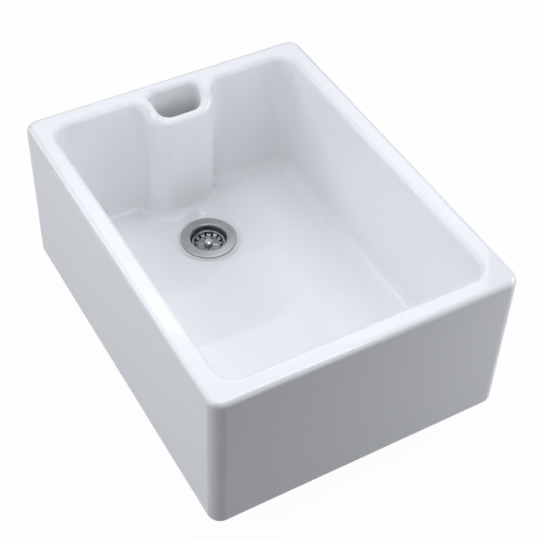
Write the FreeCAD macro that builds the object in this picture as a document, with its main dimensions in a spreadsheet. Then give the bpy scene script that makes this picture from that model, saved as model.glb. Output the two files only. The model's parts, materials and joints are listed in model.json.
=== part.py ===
"""Apron front ceramic sink with a built-in weir overflow and a basket strainer waste.

The frame: +X runs along the length, with the weir and the waste at the -X end. The apron front
faces -Y and the wall side faces +Y. +Z is up, and z = 0 is the flat underside of the ceramic, with
x = 0 and y = 0 at its middle. All sizes are millimetres.
"""
import FreeCAD, Part
import math
import os

import Sketcher

document = FreeCAD.newDocument("apron_sink")
sheet = document.addObject("Spreadsheet::Sheet", "sizes")
SIZES = {}


def size(name, value):
    """Keeps one dimension in the sheet under its name, as a plain number."""
    row = len(SIZES) + 1
    SIZES[name] = round(value, 4)
    sheet.set(f"A{row}", name)
    sheet.set(f"B{row}", str(SIZES[name]))
    sheet.setAlias(f"B{row}", name)
    return SIZES[name]


# --- ceramic body -------------------------------------------------------------------------------
sink_length = size("sink_length", 595)
sink_width = size("sink_width", 455)
sink_height = size("sink_height", 255)
wall_thickness = size("wall_thickness", 31)
floor_top = size("floor_top", 46)
corner_radius = size("corner_radius", 20)
underside_radius = size("underside_radius", 16)
rim_radius = size("rim_radius", 8)
bowl_corner_radius = size("bowl_corner_radius", 28)
floor_radius = size("floor_radius", 17)
half_length = size("half_length", sink_length / 2)
half_width = size("half_width", sink_width / 2)
bowl_end = size("bowl_end", half_length - wall_thickness)
bowl_side = size("bowl_side", half_width - wall_thickness)

# --- weir boss and overflow channel -------------------------------------------------------------
boss_reach = size("boss_reach", 45)
boss_half_front = size("boss_half_front", 50)
boss_half_root = size("boss_half_root", 60)
boss_front_radius = size("boss_front_radius", 26)
boss_root_radius = size("boss_root_radius", 18)
lip_drop = size("lip_drop", 20)
slope_run = size("slope_run", 42)
lip_thickness = size("lip_thickness", 12.5)
lip_radius = size("lip_radius", 4)
weir_length = size("weir_length", 44)
weir_half_back = size("weir_half_back", 43)
weir_half_front = size("weir_half_front", 35)
weir_corner_radius = size("weir_corner_radius", 18)
channel_floor = size("channel_floor", 12)
channel_height = size("channel_height", 16)
channel_half_width = size("channel_half_width", 22)
boss_front = size("boss_front", bowl_end - boss_reach)
weir_front = size("weir_front", boss_front + lip_thickness)
weir_back = size("weir_back", weir_front + weir_length)
lip_top = size("lip_top", sink_height - lip_drop)
slope_half_run = size("slope_half_run", slope_run / 2)
slope_half_drop = size("slope_half_drop", lip_drop / 2)
slope_radius = size("slope_radius", (slope_run ** 2 + lip_drop ** 2) / (4 * lip_drop))
slope_half_width = size("slope_half_width", boss_half_root + boss_root_radius)
slope_angle = math.asin(slope_half_run / slope_radius)
channel_start = size("channel_start", weir_back - weir_length / 3)
channel_top = size("channel_top", channel_floor + channel_height)

# --- waste opening in the floor -----------------------------------------------------------------
drain_x = size("drain_x", -154)
waste_hole_radius = size("waste_hole_radius", 32)
dish_depth = size("dish_depth", 5.5)
dish_flat_radius = size("dish_flat_radius", 46)
dish_slope_width = size("dish_slope_width", 12)
recess_depth = size("recess_depth", 4)
recess_radius = size("recess_radius", 50)
dish_level = size("dish_level", floor_top - dish_depth)
dish_edge_radius = size("dish_edge_radius", dish_flat_radius + dish_slope_width)

# --- strainer cup, a pressed steel bowl with a wide flange --------------------------------------
cup_sheet = size("cup_sheet", 1.4)
flange_radius = size("flange_radius", 44)
flange_crown = size("flange_crown", 1.9)
flange_edge = size("flange_edge", 0.8)
flange_bevel = size("flange_bevel", 1.5)
mouth_radius = size("mouth_radius", 28.5)
bead_width = size("bead_width", 2.5)
ledge_depth = size("ledge_depth", 10)
ledge_radius = size("ledge_radius", 27.2)
throat_radius = size("throat_radius", 23.6)
seat_depth = size("seat_depth", 13.8)
well_radius = size("well_radius", 16.5)
well_depth = size("well_depth", 9.8)
drain_window_radius = size("drain_window_radius", 4.2)
drain_window_ring = size("drain_window_ring", 11)
drain_window_count = 4
seal_thickness = size("seal_thickness", 1.5)
seal_inset = size("seal_inset", 1.5)
flange_base = size("flange_base", dish_level + seal_thickness)
flange_top = size("flange_top", flange_base + flange_crown)
ledge_level = size("ledge_level", flange_top - ledge_depth)
seat_level = size("seat_level", ledge_level - seat_depth)
well_floor = size("well_floor", seat_level - well_depth)

# --- clamp screw, washer and insert -------------------------------------------------------------
screw_radius = size("screw_radius", 3)
screw_hole_gap = size("screw_hole_gap", 0.4)
thread_gap = size("thread_gap", 0.05)
screw_head_radius = size("screw_head_radius", 6)
screw_head_height = size("screw_head_height", 2.4)
screw_length = size("screw_length", 24)
screw_slot_half_width = size("screw_slot_half_width", 0.7)
screw_slot_depth = size("screw_slot_depth", 1.2)
washer_radius = size("washer_radius", 7)
washer_thickness = size("washer_thickness", 0.8)
insert_radius = size("insert_radius", 5)
insert_length = size("insert_length", 12)
insert_flange_radius = size("insert_flange_radius", 6.5)
insert_flange_height = size("insert_flange_height", 1)
washer_top = size("washer_top", well_floor + washer_thickness)
screw_head_top = size("screw_head_top", washer_top + screw_head_height)
screw_tip = size("screw_tip", washer_top - screw_length)

# --- lower waste body, moulded, with the tail that a trap screws onto ---------------------------
body_seal_thickness = size("body_seal_thickness", 3)
body_flange_radius = size("body_flange_radius", 47.5)
body_flange_thickness = size("body_flange_thickness", 4)
body_wall = size("body_wall", 3.2)
funnel_radius = size("funnel_radius", 31)
funnel_collar = size("funnel_collar", 4)
funnel_depth = size("funnel_depth", 17)
tail_radius = size("tail_radius", 23.9)
tail_length = size("tail_length", 26)
hub_radius = size("hub_radius", 8)
hub_depth = size("hub_depth", 3)
hub_height = size("hub_height", 18)
spoke_half_width = size("spoke_half_width", 1.5)
spoke_count = 4
body_top = size("body_top", recess_depth - body_seal_thickness)
collar_base = size("collar_base", body_top - body_flange_thickness - funnel_collar)
funnel_base = size("funnel_base", collar_base - funnel_depth)
tail_end = size("tail_end", funnel_base - tail_length)
hub_top = size("hub_top", body_top - hub_depth)
hub_base = size("hub_base", hub_top - hub_height)
spoke_reach = size("spoke_reach", tail_radius + body_wall / 3)
spoke_height = size("spoke_height", hub_height * 2 / 3)

# --- lift-out basket ----------------------------------------------------------------------------
basket_sheet = size("basket_sheet", 0.8)
basket_gap = size("basket_gap", 0.6)
basket_depth = size("basket_depth", 6)
slot_count = 13
slot_half_width = size("slot_half_width", 1.35)
slot_inner_radius = size("slot_inner_radius", 18.4)
slot_height = size("slot_height", 3.4)
stem_radius = size("stem_radius", 2.5)
stem_gap = size("stem_gap", 0.1)
stem_collar_radius = size("stem_collar_radius", 5)
disc_radius = size("disc_radius", 20.5)
disc_thickness = size("disc_thickness", 2.5)
disc_edge = size("disc_edge", 0.9)
retainer_radius = size("retainer_radius", 11)
retainer_thickness = size("retainer_thickness", 2)
nut_across_flats = size("nut_across_flats", 8)
nut_thickness = size("nut_thickness", 3.4)
stem_end_below_nut = size("stem_end_below_nut", 0.5)
knob_radius = size("knob_radius", 7.3)
knob_height = size("knob_height", 8.6)
knob_neck_radius = size("knob_neck_radius", 3.5)
knob_foot_radius = size("knob_foot_radius", 4.6)
knob_cap_height = size("knob_cap_height", 4.8)
knob_edge = size("knob_edge", 1.2)
knob_crown_radius = size("knob_crown_radius", 5)
stem_in_knob = size("stem_in_knob", 5.6)
basket_rim_radius = size("basket_rim_radius", ledge_radius - basket_gap)
basket_wall_radius = size("basket_wall_radius", throat_radius - basket_gap)
basket_rim_top = size("basket_rim_top", ledge_level + basket_sheet)
basket_base = size("basket_base", ledge_level - basket_depth)
basket_floor = size("basket_floor", basket_base + basket_sheet)
disc_top = size("disc_top", seat_level + disc_thickness)
retainer_base = size("retainer_base", seat_level - retainer_thickness)
nut_base = size("nut_base", retainer_base - nut_thickness)
stem_end = size("stem_end", nut_base - stem_end_below_nut)
stem_top = size("stem_top", basket_floor + stem_in_knob)
knob_top = size("knob_top", basket_floor + knob_height)
knob_cap_base = size("knob_cap_base", knob_top - knob_cap_height)
knob_edge_base = size("knob_edge_base", knob_cap_base + knob_edge)
knob_edge_top = size("knob_edge_top", knob_edge_base + knob_edge)
document.recompute()

NEAR = 0.2
SUB_PARTS = []


def number(sum_text):
    """The value of a sum such as "waste_hole_radius + seal_inset", whose words are sizes."""
    total = 0.0
    sign = 1
    for word in sum_text.split():
        if word in ("+", "-"):
            sign = 1 if word == "+" else -1
        else:
            total += sign * (SIZES[word] if word in SIZES else float(word))
    return total


def expression(sum_text):
    """The same sum as an expression on the sheet."""
    return " ".join(f"sizes.{word}" if word in SIZES else word for word in sum_text.split())


def bind(thing, prop, sum_text):
    """Binds one property of a feature to a sum of sizes."""
    thing.setExpression(prop, expression(sum_text))


def new_body(name, at_drain):
    """Starts one sub-part: a body of its own, at the middle of the sink or on the waste axis."""
    body = document.addObject("PartDesign::Body", name)
    body.Label = name
    SUB_PARTS.append(body)
    if at_drain:
        bind(body, "Placement.Base.x", "drain_x")
    return body


def new_sketch(body, name, role, raised="0", along="0"):
    """A sketch on one of the body's own planes, raised off it, and moved along its first axis."""
    sketch = body.newObject("Sketcher::SketchObject", name)
    plane = next(item for item in body.Origin.OriginFeatures if item.Role == role)
    sketch.AttachmentSupport = [(plane, "")]
    sketch.MapMode = "FlatFace"
    bind(sketch, "AttachmentOffset.Base.z", raised)
    bind(sketch, "AttachmentOffset.Base.x", along)
    return sketch


def hold(sketch, kind, place, sum_text):
    """Holds one coordinate of a line's start, or of a circle's middle, to a sum of sizes."""
    geometry, point = place
    value = number(sum_text)
    if value == 0:
        axis = -2 if kind == "DistanceX" else -1
        sketch.addConstraint(Sketcher.Constraint("PointOnObject", geometry, point, axis))
        return
    index = sketch.addConstraint(Sketcher.Constraint(kind, -1, 1, geometry, point, value))
    bind(sketch, f"Constraints[{index}]", sum_text)


def draw_outline(sketch, corners, closed=True):
    """Draws an outline of straight lines. Each corner is a pair of sums of sizes."""
    places = [FreeCAD.Vector(number(across), number(up), 0) for across, up in corners]
    count = len(corners)
    line_count = count if closed else count - 1
    for index in range(line_count):
        sketch.addGeometry(Part.LineSegment(places[index], places[(index + 1) % count]), False)
    for index in range(line_count if closed else line_count - 1):
        sketch.addConstraint(Sketcher.Constraint("Coincident", index, 2, (index + 1) % count, 1))
    for index, (across, up) in enumerate(corners):
        start = (index, 1) if index < line_count else (index - 1, 2)
        hold(sketch, "DistanceX", start, across)
        hold(sketch, "DistanceY", start, up)


def draw_circle(sketch, radius, across="0"):
    """Draws a circle whose middle is on the sketch's first axis."""
    middle = FreeCAD.Vector(number(across), 0, 0)
    up = FreeCAD.Vector(0, 0, 1)
    geometry = sketch.addGeometry(Part.Circle(middle, up, number(radius)), False)
    hold(sketch, "DistanceX", (geometry, 3), across)
    hold(sketch, "DistanceY", (geometry, 3), "0")
    index = sketch.addConstraint(Sketcher.Constraint("Radius", geometry, number(radius)))
    bind(sketch, f"Constraints[{index}]", radius)


def pad(body, name, sketch, length):
    """Adds material above the sketch."""
    feature = body.newObject("PartDesign::Pad", name)
    feature.Profile = sketch
    bind(feature, "Length", length)
    document.recompute()
    return feature


def pocket(body, name, sketch, length, upward=False):
    """Takes material away below the sketch, or above it."""
    before = body.Shape.Volume
    feature = body.newObject("PartDesign::Pocket", name)
    feature.Profile = sketch
    feature.Reversed = upward
    bind(feature, "Length", length)
    document.recompute()
    if not body.Shape.Volume < before:
        raise ValueError(f"{name} cuts nothing")
    return feature


def turn(body, name, sketch, cut=False):
    """Turns the sketch about its upright axis, to add material or to take it away."""
    before = body.Shape.Volume if cut else 0
    feature = body.newObject("PartDesign::Groove" if cut else "PartDesign::Revolution", name)
    feature.Profile = sketch
    feature.ReferenceAxis = (sketch, ["V_Axis"])
    feature.Angle = 360
    document.recompute()
    if cut and not body.Shape.Volume < before:
        raise ValueError(f"{name} cuts nothing")
    return feature


def round_edges(body, name, radius, is_wanted):
    """Rounds the edges of the body so far that the test picks."""
    base = body.Tip
    edges = [f"Edge{index + 1}" for index, edge in enumerate(base.Shape.Edges) if is_wanted(edge)]
    if not edges:
        raise ValueError(f"{name} finds no edge")
    feature = body.newObject("PartDesign::Fillet", name)
    feature.Base = (base, edges)
    bind(feature, "Radius", radius)
    document.recompute()
    return feature


def pattern_round(body, name, source, sketch, count):
    """Repeats a cut evenly round the sketch's own normal."""
    feature = body.newObject("PartDesign::PolarPattern", name)
    feature.Originals = [source]
    feature.Axis = (sketch, ["N_Axis"])
    feature.Angle = 360
    feature.Occurrences = count
    body.Tip = feature
    document.recompute()
    return feature


def is_upright_at(edge, half_x, half_y):
    """Says whether an edge stands upright at one of the four corners of a rectangle."""
    box = edge.BoundBox
    upright = box.XLength < NEAR and box.YLength < NEAR and box.ZLength > NEAR
    return upright and abs(abs(box.Center.x) - half_x) < NEAR and abs(abs(box.Center.y) - half_y) < NEAR


def is_flat_at(edge, level):
    """Says whether an edge lies level at the given height."""
    box = edge.BoundBox
    return box.ZLength < NEAR and abs(box.Center.z - level) < NEAR


def is_rim_line(edge, x):
    """Says whether an edge is a straight line of the rim that lies across the sink at this x."""
    box = edge.BoundBox
    return is_flat_at(edge, sink_height) and abs(box.Center.x - x) < NEAR and box.XLength < NEAR


def rectangle(half_x, half_y):
    """The corners of a rectangle about the origin, as sums of sizes."""
    return [(f"- {half_x}", f"- {half_y}"), (half_x, f"- {half_y}"), (half_x, half_y),
            (f"- {half_x}", half_y)]


def ring(inner, outer, base, top):
    """The half section of a plain ring."""
    return [(inner, base), (outer, base), (outer, top), (inner, top)]


def lathe_part(name, corners):
    """A sub-part turned about the waste axis from the corners of its half section."""
    body = new_body(name, at_drain=True)
    sketch = new_sketch(body, f"{name}_section", "XZ_Plane")
    draw_outline(sketch, corners)
    turn(body, f"{name}_turned", sketch)
    return body


def cut_bowl(body):
    """The bowl: a rectangle sunk from the rim to the floor, with rounded upright corners."""
    sketch = new_sketch(body, "bowl_outline", "XY_Plane", raised="sink_height")
    draw_outline(sketch, rectangle("bowl_end", "bowl_side"))
    pocket(body, "bowl", sketch, "sink_height - floor_top")
    round_edges(body, "bowl_corners", "bowl_corner_radius",
                lambda edge: is_upright_at(edge, bowl_end, bowl_side))


def add_boss(body):
    """The weir boss: a blunt column up the end wall, blended into it on both sides."""
    sketch = new_sketch(body, "boss_outline", "XY_Plane", raised="floor_top")
    buried = "- bowl_end - rim_radius"
    draw_outline(sketch, [(buried, "- boss_half_root"), ("- bowl_end", "- boss_half_root"),
                          ("- boss_front", "- boss_half_front"), ("- boss_front", "boss_half_front"),
                          ("- bowl_end", "boss_half_root"), (buried, "boss_half_root")])
    pad(body, "boss", sketch, "sink_height - floor_top")
    round_edges(body, "boss_roots", "boss_root_radius",
                lambda edge: is_upright_at(edge, bowl_end, boss_half_root) and edge.BoundBox.XMax < 0)
    round_edges(body, "boss_front_corners", "boss_front_radius",
                lambda edge: is_upright_at(edge, boss_front, boss_half_front) and edge.BoundBox.XMax < 0)


def slope_lip(body):
    """The top of the boss dips from the rim to the front lip in two even arcs, one over, one under."""
    sketch = new_sketch(body, "lip_slope_outline", "XZ_Plane", raised="slope_half_width")
    past = "- boss_front + boss_reach"
    draw_outline(sketch, [("- bowl_end + slope_run", "lip_top"), (past, "lip_top"),
                          (past, "sink_height"), ("- bowl_end", "sink_height")], closed=False)
    up = FreeCAD.Vector(0, 0, 1)
    over = FreeCAD.Vector(-bowl_end, sink_height - slope_radius, 0)
    under = FreeCAD.Vector(-bowl_end + slope_run, lip_top + slope_radius, 0)
    arcs = []
    for middle, end in ((over, math.pi / 2), (under, 3 * math.pi / 2)):
        circle = Part.Circle(middle, up, slope_radius)
        arc = sketch.addGeometry(Part.ArcOfCircle(circle, end - slope_angle, end), False)
        arcs.append(arc)
    first, second = arcs
    sketch.addConstraint(Sketcher.Constraint("Coincident", first, 2, 2, 2))
    sketch.addConstraint(Sketcher.Constraint("Coincident", second, 2, 0, 1))
    sketch.addConstraint(Sketcher.Constraint("Coincident", second, 1, first, 1))
    hold(sketch, "DistanceX", (first, 1), "- bowl_end + slope_half_run")
    hold(sketch, "DistanceY", (first, 1), "lip_top + slope_half_drop")
    for arc in arcs:
        index = sketch.addConstraint(Sketcher.Constraint("Radius", arc, slope_radius))
        bind(sketch, f"Constraints[{index}]", "slope_radius")
    pocket(body, "lip_slope", sketch, "slope_half_width + slope_half_width")


def cut_weir(body):
    """The weir: a shaft from the top of the boss down to the channel, with rounded corners."""
    mouth = new_sketch(body, "weir_outline", "XY_Plane", raised="sink_height")
    draw_outline(mouth, [("- weir_back", "- weir_half_back"), ("- weir_front", "- weir_half_front"),
                         ("- weir_front", "weir_half_front"), ("- weir_back", "weir_half_back")])
    pocket(body, "weir_shaft", mouth, "sink_height - channel_floor")
    round_edges(body, "weir_corners", "weir_corner_radius",
                lambda edge: is_upright_at(edge, weir_front, weir_half_front)
                or is_upright_at(edge, weir_back, weir_half_back))


def cut_channel(body):
    """The channel that takes the overflow from the foot of the shaft, under the floor, to the waste."""
    channel = new_sketch(body, "channel_outline", "XY_Plane", raised="channel_top")
    draw_outline(channel, [("- channel_start", "- channel_half_width"), ("drain_x", "- channel_half_width"),
                           ("drain_x", "channel_half_width"), ("- channel_start", "channel_half_width")])
    pocket(body, "channel", channel, "channel_height")


def cut_waste_opening(body):
    """The waste opening: a shallow dish in the floor, the hole, and the recess underneath.

    The dish's edge goes on upward, so that it also clears the rounding at the foot of the boss.
    """
    dish = new_sketch(body, "dish_section", "XZ_Plane", along="drain_x")
    above = "floor_top + floor_radius"
    draw_outline(dish, [("0", "dish_level"), ("dish_flat_radius", "dish_level"),
                        ("dish_edge_radius", "floor_top"), ("dish_edge_radius", above), ("0", above)])
    turn(body, "dish", dish, cut=True)
    hole = new_sketch(body, "waste_hole_outline", "XY_Plane")
    draw_circle(hole, "waste_hole_radius", across="drain_x")
    pocket(body, "waste_hole", hole, "floor_top", upward=True)
    recess = new_sketch(body, "recess_outline", "XY_Plane")
    draw_circle(recess, "recess_radius", across="drain_x")
    pocket(body, "recess", recess, "recess_depth", upward=True)


def build_basin():
    """The ceramic: one thick-walled piece with the bowl, the weir boss and the hidden overflow."""
    body = new_body("basin", at_drain=False)
    outline = new_sketch(body, "basin_outline", "XY_Plane")
    draw_outline(outline, rectangle("half_length", "half_width"))
    pad(body, "block", outline, "sink_height")
    round_edges(body, "block_corners", "corner_radius",
                lambda edge: is_upright_at(edge, half_length, half_width))
    round_edges(body, "block_underside", "underside_radius", lambda edge: is_flat_at(edge, 0))
    round_edges(body, "block_rim", "rim_radius", lambda edge: is_flat_at(edge, sink_height))
    cut_bowl(body)
    add_boss(body)
    round_edges(body, "floor_rounding", "floor_radius", lambda edge: is_flat_at(edge, floor_top))
    cut_weir(body)
    slope_lip(body)
    # Each rounding runs on by itself round the whole of its own smooth loop.
    round_edges(body, "bowl_rim", "rim_radius", lambda edge: is_rim_line(edge, bowl_end))
    round_edges(body, "weir_rim", "lip_radius", lambda edge: is_rim_line(edge, -weir_back))
    cut_channel(body)
    cut_waste_opening(body)
    return body


def build_strainer_cup():
    """The pressed cup: a crowned flange, a ledge for the basket, a seat for its disc and a well."""
    body = lathe_part("strainer_cup", [
        ("flange_radius", "flange_base"), ("flange_radius", "flange_base + flange_edge"),
        ("flange_radius - flange_bevel", "flange_top - cup_sheet + flange_edge"),
        ("mouth_radius + bead_width", "flange_top"), ("mouth_radius + cup_sheet", "flange_top"),
        ("mouth_radius", "flange_top - cup_sheet"), ("ledge_radius", "ledge_level"),
        ("throat_radius", "ledge_level"), ("throat_radius", "seat_level"),
        ("well_radius", "seat_level"), ("well_radius", "well_floor"),
        ("screw_radius + screw_hole_gap", "well_floor"),
        ("screw_radius + screw_hole_gap", "well_floor - cup_sheet"),
        ("well_radius + cup_sheet", "well_floor - cup_sheet"),
        ("well_radius + cup_sheet", "seat_level - cup_sheet"),
        ("throat_radius + cup_sheet", "seat_level - cup_sheet"),
        ("throat_radius + cup_sheet", "ledge_level - cup_sheet"),
        ("ledge_radius + cup_sheet", "ledge_level - cup_sheet"),
        ("mouth_radius + cup_sheet", "flange_base")])
    window = new_sketch(body, "drain_window_outline", "XY_Plane", raised="well_floor")
    draw_circle(window, "drain_window_radius", across="drain_window_ring")
    cut = pocket(body, "drain_window", window, "cup_sheet + cup_sheet")
    pattern_round(body, "drain_windows", cut, window, drain_window_count)


def build_waste_body():
    """The lower body: a flange under the ceramic, a funnel, four spokes to a hub, and the tail."""
    body = lathe_part("waste_body", [
        ("funnel_radius", "body_top"), ("body_flange_radius", "body_top"),
        ("body_flange_radius", "body_top - body_flange_thickness"),
        ("funnel_radius + body_wall", "body_top - body_flange_thickness"),
        ("funnel_radius + body_wall", "collar_base"), ("tail_radius", "funnel_base"),
        ("tail_radius", "tail_end"), ("tail_radius - body_wall", "tail_end"),
        ("tail_radius - body_wall", "funnel_base + body_wall"), ("funnel_radius", "collar_base + body_wall")])
    spoke = new_sketch(body, "spoke_outline", "XY_Plane", raised="hub_base")
    draw_outline(spoke, [("0", "- spoke_half_width"), ("spoke_reach", "- spoke_half_width"),
                         ("spoke_reach", "spoke_half_width"), ("0", "spoke_half_width")])
    first = pad(body, "spoke", spoke, "spoke_height")
    pattern_round(body, "spokes", first, spoke, spoke_count)
    hub = new_sketch(body, "hub_outline", "XY_Plane", raised="hub_base")
    draw_circle(hub, "hub_radius")
    pad(body, "hub", hub, "hub_height")
    bore = new_sketch(body, "hub_bore_outline", "XY_Plane", raised="hub_top")
    draw_circle(bore, "insert_radius + thread_gap")
    pocket(body, "hub_bore", bore, "insert_length")
    passage = new_sketch(body, "hub_passage_outline", "XY_Plane", raised="hub_top")
    draw_circle(passage, "screw_radius + screw_hole_gap")
    pocket(body, "hub_passage", passage, "hub_height")


def build_screw():
    """The clamp screw: a low slotted head on the washer, and a shank down into the insert."""
    body = lathe_part("clamp_screw", [
        ("0", "screw_tip"), ("screw_radius", "screw_tip"), ("screw_radius", "washer_top"),
        ("screw_head_radius", "washer_top"), ("screw_head_radius", "screw_head_top - flange_edge"),
        ("screw_head_radius - flange_edge", "screw_head_top"), ("0", "screw_head_top")])
    slot = new_sketch(body, "screw_slot_outline", "XY_Plane", raised="screw_head_top")
    draw_outline(slot, rectangle("screw_head_radius", "screw_slot_half_width"))
    pocket(body, "screw_slot", slot, "screw_slot_depth")


def build_basket():
    """The basket: a shallow pressed pan whose slots run through the corner of its wall and floor."""
    body = lathe_part("basket", [
        ("stem_radius + stem_gap", "basket_base"), ("basket_wall_radius", "basket_base"),
        ("basket_wall_radius", "ledge_level"), ("basket_rim_radius", "ledge_level"),
        ("basket_rim_radius", "basket_rim_top"), ("basket_wall_radius - basket_sheet", "basket_rim_top"),
        ("basket_wall_radius - basket_sheet", "basket_floor"), ("stem_radius + stem_gap", "basket_floor")])
    slot = new_sketch(body, "basket_slot_outline", "XY_Plane", raised="basket_base + slot_height")
    outer = "basket_wall_radius + basket_sheet"
    draw_outline(slot, [("slot_inner_radius", "- slot_half_width"), (outer, "- slot_half_width"),
                        (outer, "slot_half_width"), ("slot_inner_radius", "slot_half_width")])
    cut = pocket(body, "basket_slot", slot, "slot_height + basket_sheet")
    pattern_round(body, "basket_slots", cut, slot, slot_count)


def build_knob():
    """The mushroom knob: a foot on the basket floor, a neck, and a crowned cap."""
    lathe_part("basket_knob", [
        ("stem_radius + stem_gap", "basket_floor"), ("knob_foot_radius", "basket_floor"),
        ("knob_neck_radius", "knob_cap_base - knob_edge"), ("knob_neck_radius", "knob_cap_base"),
        ("knob_radius", "knob_edge_base"), ("knob_radius", "knob_edge_top"),
        ("knob_crown_radius", "knob_top - flange_edge"), ("0", "knob_top"),
        ("0", "stem_top + stem_gap"), ("stem_radius + stem_gap", "stem_top + stem_gap")])


def build_stem():
    """The stem: from the knob down through the pan, with a collar that spaces the disc below."""
    lathe_part("basket_stem", [
        ("0", "stem_end"), ("stem_radius", "stem_end"), ("stem_radius", "disc_top"),
        ("stem_collar_radius", "disc_top"), ("stem_collar_radius", "basket_base"),
        ("stem_radius", "basket_base"), ("stem_radius", "stem_top"), ("0", "stem_top")])


def build_stem_nut():
    """The hexagon nut that holds the disc and its retainer on the stem."""
    body = new_body("stem_nut", at_drain=True)
    corner = size("nut_corner", nut_across_flats / math.sqrt(3))
    half_flat = size("nut_half_flat", nut_across_flats / 2)
    half_side = size("nut_half_side", corner / 2)
    document.recompute()
    sketch = new_sketch(body, "nut_outline", "XY_Plane", raised="nut_base")
    draw_outline(sketch, [("nut_corner", "0"), ("nut_half_side", "nut_half_flat"),
                          ("- nut_half_side", "nut_half_flat"), ("- nut_corner", "0"),
                          ("- nut_half_side", "- nut_half_flat"), ("nut_half_side", "- nut_half_flat")])
    pad(body, "nut_block", sketch, "nut_thickness")
    bore = new_sketch(body, "nut_bore_outline", "XY_Plane", raised="retainer_base")
    draw_circle(bore, "stem_radius + thread_gap")
    pocket(body, "nut_bore", bore, "nut_thickness + thread_gap")


def build_seals():
    """The rings that seal the joints, and the disc that closes the waste when it is pushed down."""
    lathe_part("flange_seal", ring("waste_hole_radius + seal_inset", "flange_radius - seal_inset",
                                   "dish_level", "flange_base"))
    lathe_part("body_seal", ring("waste_hole_radius + seal_inset", "body_flange_radius - seal_inset",
                                 "body_top", "recess_depth"))
    lathe_part("screw_washer", ring("screw_radius + screw_hole_gap", "washer_radius", "well_floor",
                                    "washer_top"))
    lathe_part("basket_disc", [
        ("stem_radius + stem_gap", "seat_level"), ("disc_radius", "seat_level"),
        ("disc_radius", "seat_level + disc_edge"), ("retainer_radius", "disc_top"),
        ("stem_radius + stem_gap", "disc_top")])
    lathe_part("disc_retainer", ring("stem_radius + stem_gap", "retainer_radius", "retainer_base",
                                     "seat_level"))


def build_insert():
    """The threaded insert in the hub, which the clamp screw pulls on."""
    lathe_part("thread_insert", [
        ("screw_radius + thread_gap", "hub_top - insert_length"), ("insert_radius", "hub_top - insert_length"),
        ("insert_radius", "hub_top"), ("insert_flange_radius", "hub_top"),
        ("insert_flange_radius", "hub_top + insert_flange_height"),
        ("screw_radius + thread_gap", "hub_top + insert_flange_height")])


def check_document():
    """Stops if any feature failed, or if any sub-part isn't one sound solid."""
    for item in document.Objects:
        if "Invalid" in item.State or "Error" in item.State:
            raise ValueError(f"{item.Name} failed: {item.State}")
    for body in SUB_PARTS:
        shape = body.Shape
        if shape.isNull() or not shape.isValid() or len(shape.Solids) != 1:
            raise ValueError(f"{body.Label} is not one sound solid")


build_basin()
build_strainer_cup()
build_waste_body()
build_insert()
build_screw()
build_seals()
build_basket()
build_knob()
build_stem()
build_stem_nut()
document.recompute()
check_document()
os.makedirs("parts", exist_ok=True)
for sub_part in SUB_PARTS:
    solid = sub_part.Shape
    solid.exportStep(f"parts/{sub_part.Label}.step")
    box = solid.BoundBox
    print(f"{sub_part.Label:14s} x {box.XMin:8.2f} {box.XMax:8.2f}  y {box.YMin:8.2f} {box.YMax:8.2f}"
          f"  z {box.ZMin:8.2f} {box.ZMax:8.2f}  volume {solid.Volume:12.1f}")
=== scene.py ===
# %% [markdown]
# # An apron front sink, dressed for the camera
#
# The sink is one thick ceramic casting under a glossy white glaze. A weir in one end wall lets a full
# bowl spill into a hidden channel, and a small steel basket strainer sits in the floor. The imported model
# gives every place and size. This script adds the soft edges of the glaze, the pressed steel, the thread
# on the tail, and the light of a plain white studio.

# %% Load the frame
import json
import math

import bmesh
import bpy
import numpy as np
from mathutils import Matrix, Vector

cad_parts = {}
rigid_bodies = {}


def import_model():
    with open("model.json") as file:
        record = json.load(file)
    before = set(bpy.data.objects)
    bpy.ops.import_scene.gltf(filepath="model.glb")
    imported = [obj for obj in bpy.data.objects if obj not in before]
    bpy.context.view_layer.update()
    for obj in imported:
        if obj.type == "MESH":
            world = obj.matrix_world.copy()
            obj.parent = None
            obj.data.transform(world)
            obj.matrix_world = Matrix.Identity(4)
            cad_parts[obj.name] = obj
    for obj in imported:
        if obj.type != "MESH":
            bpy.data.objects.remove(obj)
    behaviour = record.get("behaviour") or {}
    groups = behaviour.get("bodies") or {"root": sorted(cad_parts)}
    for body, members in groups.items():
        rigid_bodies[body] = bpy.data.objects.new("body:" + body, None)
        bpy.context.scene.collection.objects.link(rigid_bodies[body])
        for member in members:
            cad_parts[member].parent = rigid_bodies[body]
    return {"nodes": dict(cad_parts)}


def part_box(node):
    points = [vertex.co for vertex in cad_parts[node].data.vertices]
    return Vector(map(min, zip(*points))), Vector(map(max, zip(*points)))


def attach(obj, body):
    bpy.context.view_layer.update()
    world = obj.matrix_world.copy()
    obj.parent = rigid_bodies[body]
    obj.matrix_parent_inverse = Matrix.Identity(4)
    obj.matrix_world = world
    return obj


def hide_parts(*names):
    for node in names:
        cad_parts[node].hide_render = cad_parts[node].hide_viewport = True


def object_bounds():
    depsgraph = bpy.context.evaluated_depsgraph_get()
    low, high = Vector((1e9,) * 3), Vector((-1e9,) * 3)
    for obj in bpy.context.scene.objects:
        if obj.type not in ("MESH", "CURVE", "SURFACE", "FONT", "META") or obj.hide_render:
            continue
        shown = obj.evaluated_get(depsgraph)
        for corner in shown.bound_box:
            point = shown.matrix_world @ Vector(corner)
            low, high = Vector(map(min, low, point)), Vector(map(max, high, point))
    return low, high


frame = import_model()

MM = 0.001


def plain_box(box):
    """A box as plain lists of numbers."""
    return [[float(value) for value in corner] for corner in box]


cad_box = plain_box(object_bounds())
print("nodes:", sorted(frame["nodes"]))
print("box of the solids:", cad_box)

# %% [markdown]
# ## Sizes
#
# The solids already hold most sizes, so they are measured here and not written again. What is left are
# the roundings and the shape of the weir boss, which a box can't tell. They are in millimetres.

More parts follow.
